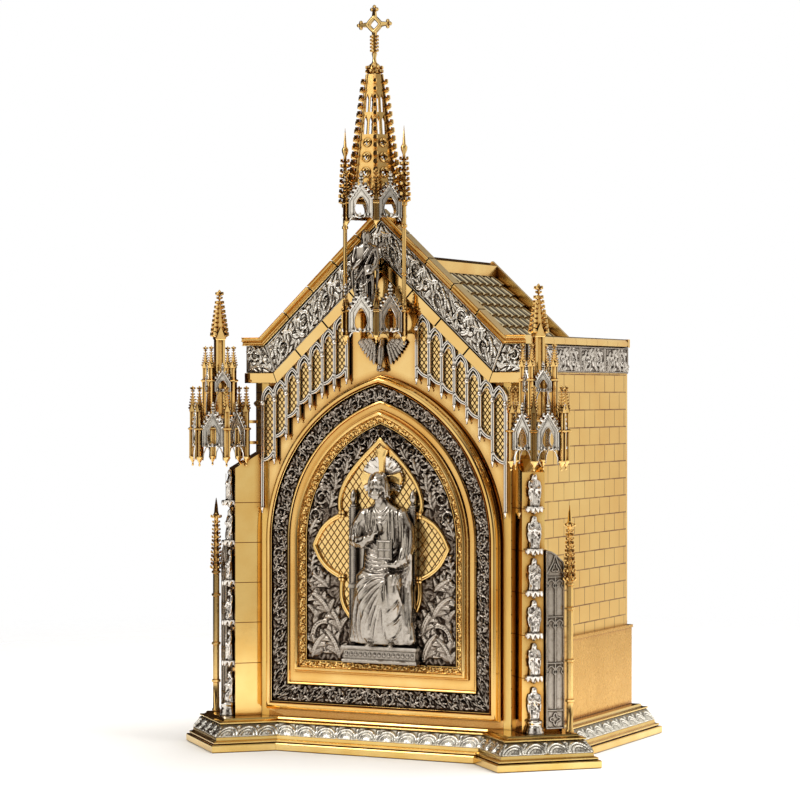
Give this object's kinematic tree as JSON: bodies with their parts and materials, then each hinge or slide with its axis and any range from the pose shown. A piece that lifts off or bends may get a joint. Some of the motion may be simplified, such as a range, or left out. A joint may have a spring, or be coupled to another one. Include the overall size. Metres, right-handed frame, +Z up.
{
  "type": "altar tabernacle",
  "caption": "Gothic gilt altar tabernacle: a gabled house-shaped cabinet with a pointed hinged door, tiled roof, pinnacled canopies and a central openwork spire with a cross.",
  "frame": {"origin": "middle of the underside of the base", "axes": "+Z up, the door faces -Y, +X to the viewer's right"},
  "size_m": [0.674, 0.5114, 1.08],
  "materials": {
    "polished_gold": "gold plated, mirror polished",
    "satin_gold": "gold plated, satin with engraved joints",
    "cast_gold": "gold plated casting with dark recesses",
    "lattice_gold": "gold plated, engraved diamond lattice",
    "oxidised_silver": "silver plated casting, oxidised in the recesses"
  },
  "bodies": {
    "cabinet": {"base_plinth": "satin_gold", "base_scallop_band": "oxidised_silver", "facade": "polished_gold", "wall_left": "satin_gold", "wall_right": "satin_gold", "wall_back": "satin_gold", "dado_left": "satin_gold", "dado_right": "satin_gold", "gable_coping": "polished_gold", "gable_frieze_left": "oxidised_silver", "gable_frieze_right": "oxidised_silver", "gable_blocks": "polished_gold", "side_coping_left": "polished_gold", "side_coping_right": "polished_gold", "side_frieze_left": "oxidised_silver", "side_frieze_right": "oxidised_silver", "roof_tiles_left": "oxidised_silver", "roof_tiles_right": "oxidised_silver", "roof_ridge": "polished_gold", "rear_coping": "polished_gold", "arcade_lattice_left": "lattice_gold", "arcade_lattice_right": "lattice_gold", "arcade_tracery_left": "oxidised_silver", "arcade_tracery_right": "oxidised_silver", "pier_left": "satin_gold", "pier_right": "satin_gold", "wing_tracery_left": "oxidised_silver", "wing_tracery_right": "oxidised_silver", "pier_saints_left": "oxidised_silver", "pier_saints_right": "oxidised_silver", "rod_pinnacle_left": "cast_gold", "rod_pinnacle_right": "cast_gold", "canopy_lower_tier_left": "cast_gold", "canopy_lower_tier_right": "cast_gold", "canopy_upper_tier_left": "oxidised_silver", "canopy_upper_tier_right": "oxidised_silver", "canopy_spirelet_left": "cast_gold", "canopy_spirelet_right": "cast_gold", "spire_lower_gallery": "cast_gold", "spire_upper_tier": "cast_gold", "spire": "cast_gold", "spire_finial": "polished_gold", "niche_figure": "oxidised_silver", "dove_corbel": "oxidised_silver"},
    "door": {"door_leaf": "polished_gold", "door_foliage_band": "oxidised_silver", "door_inner_frame": "cast_gold", "door_field": "oxidised_silver", "quatrefoil_frame": "polished_gold", "quatrefoil_lattice": "lattice_gold", "throne": "oxidised_silver", "nimbus": "oxidised_silver", "seated_figure": "oxidised_silver"}
  },
  "joints": [
    {"name": "door_hinge", "type": "hinge", "parent": "cabinet", "child": "door", "pos_m": [-0.184, -0.167, 0.3], "axis": [0, 0, -1], "range_deg": [0, 105]}
  ]
}
